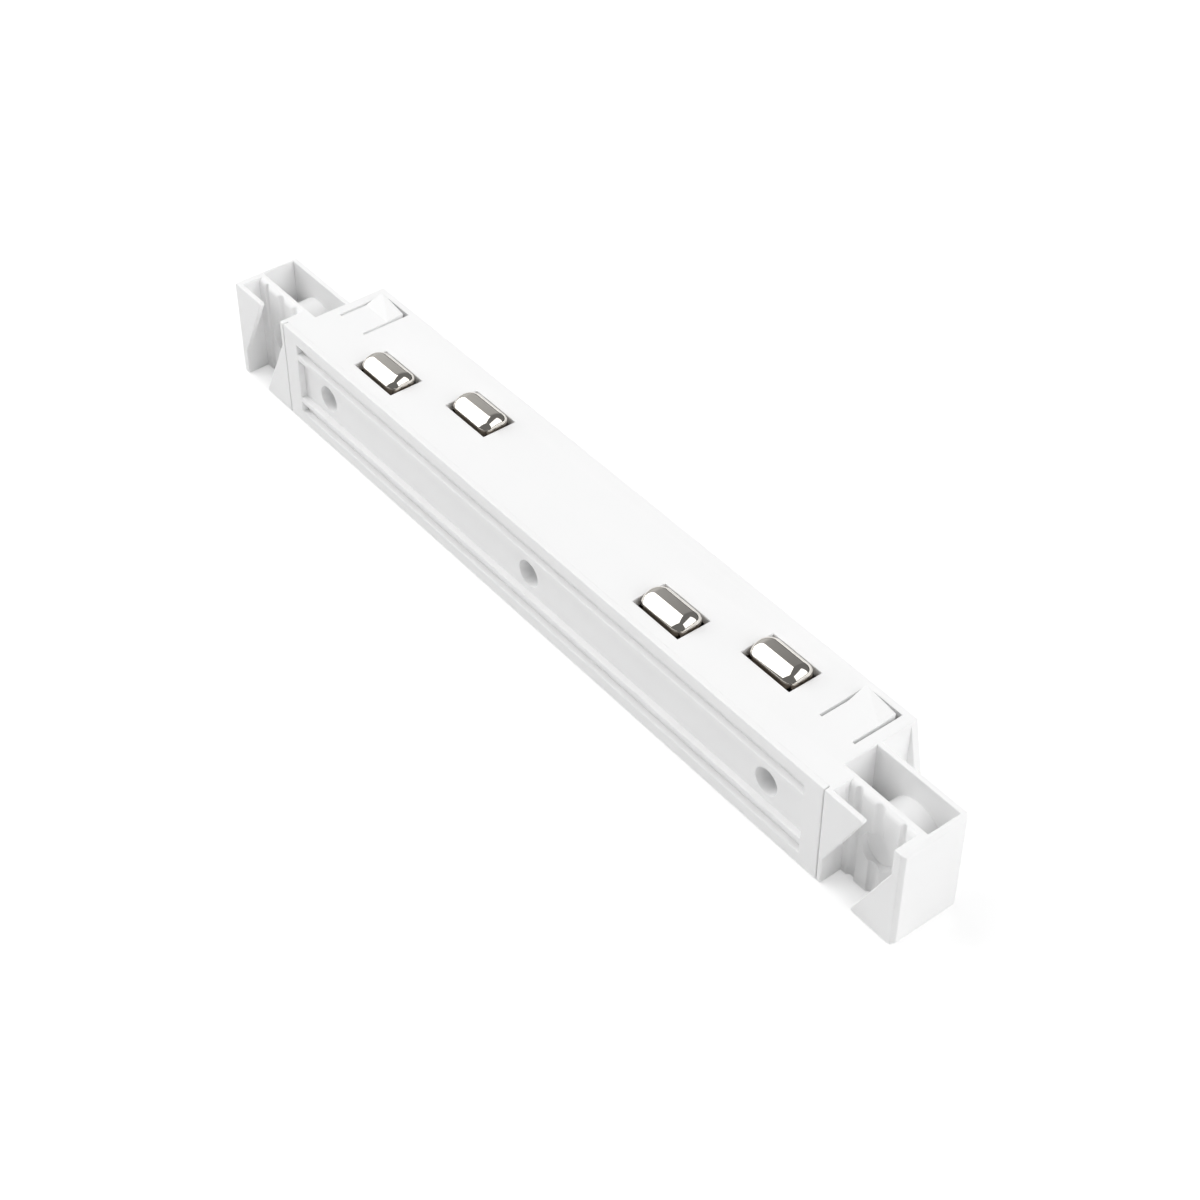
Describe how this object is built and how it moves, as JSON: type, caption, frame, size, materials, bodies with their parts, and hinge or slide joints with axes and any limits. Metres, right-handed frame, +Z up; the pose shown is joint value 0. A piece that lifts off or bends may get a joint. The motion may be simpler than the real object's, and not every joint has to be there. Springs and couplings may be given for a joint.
{
  "type": "magnetic track straight connector",
  "caption": "Straight joining connector for a magnetic light track: a long moulded bar with sprung contact pads on top, open end boxes with hook lugs and a screwed front cover.",
  "frame": {"origin": "middle of the bottom face's bounding box", "axes": "+X along the track towards the right end, +Y from the front cover to the back, +Z up through the contact face"},
  "size_m": [0.18, 0.0208, 0.0219],
  "materials": {
    "white_plastic": "fine satin moulding",
    "cover_plastic": "fine satin moulding",
    "tray_plastic": "plain moulding",
    "polished_nickel": "polished nickel plate on brass",
    "brass": "stamped strip",
    "zinc_plated_steel": "zinc plate",
    "spring_steel": "drawn wire"
  },
  "bodies": {
    "connector_body": {"housing": "white_plastic", "front_cover": "cover_plastic", "contact_tray": "tray_plastic", "front_busbar": "brass", "back_busbar": "brass", "cover_screw_1": "zinc_plated_steel", "cover_screw_2": "zinc_plated_steel", "cover_screw_3": "zinc_plated_steel", "spring_1a": "spring_steel", "spring_1b": "spring_steel", "spring_2a": "spring_steel", "spring_2b": "spring_steel", "spring_3a": "spring_steel", "spring_3b": "spring_steel", "spring_4a": "spring_steel", "spring_4b": "spring_steel"},
    "contact_1_pad": {"contact_1": "polished_nickel"},
    "contact_2_pad": {"contact_2": "polished_nickel"},
    "contact_3_pad": {"contact_3": "polished_nickel"},
    "contact_4_pad": {"contact_4": "polished_nickel"}
  },
  "joints": [
    {"name": "contact_1_press", "type": "slide", "parent": "connector_body", "child": "contact_1_pad", "axis": [0, 0, 1], "range_m": [-0.0019, 0], "stiffness_N_per_m": 800, "springref_m": 0.001, "deforming": ["spring_1a", "spring_1b"]},
    {"name": "contact_2_press", "type": "slide", "parent": "connector_body", "child": "contact_2_pad", "axis": [0, 0, 1], "range_m": [-0.0019, 0], "stiffness_N_per_m": 800, "springref_m": 0.001, "deforming": ["spring_2a", "spring_2b"]},
    {"name": "contact_3_press", "type": "slide", "parent": "connector_body", "child": "contact_3_pad", "axis": [0, 0, 1], "range_m": [-0.0019, 0], "stiffness_N_per_m": 800, "springref_m": 0.001, "deforming": ["spring_3a", "spring_3b"]},
    {"name": "contact_4_press", "type": "slide", "parent": "connector_body", "child": "contact_4_pad", "axis": [0, 0, 1], "range_m": [-0.0019, 0], "stiffness_N_per_m": 800, "springref_m": 0.001, "deforming": ["spring_4a", "spring_4b"]}
  ]
}
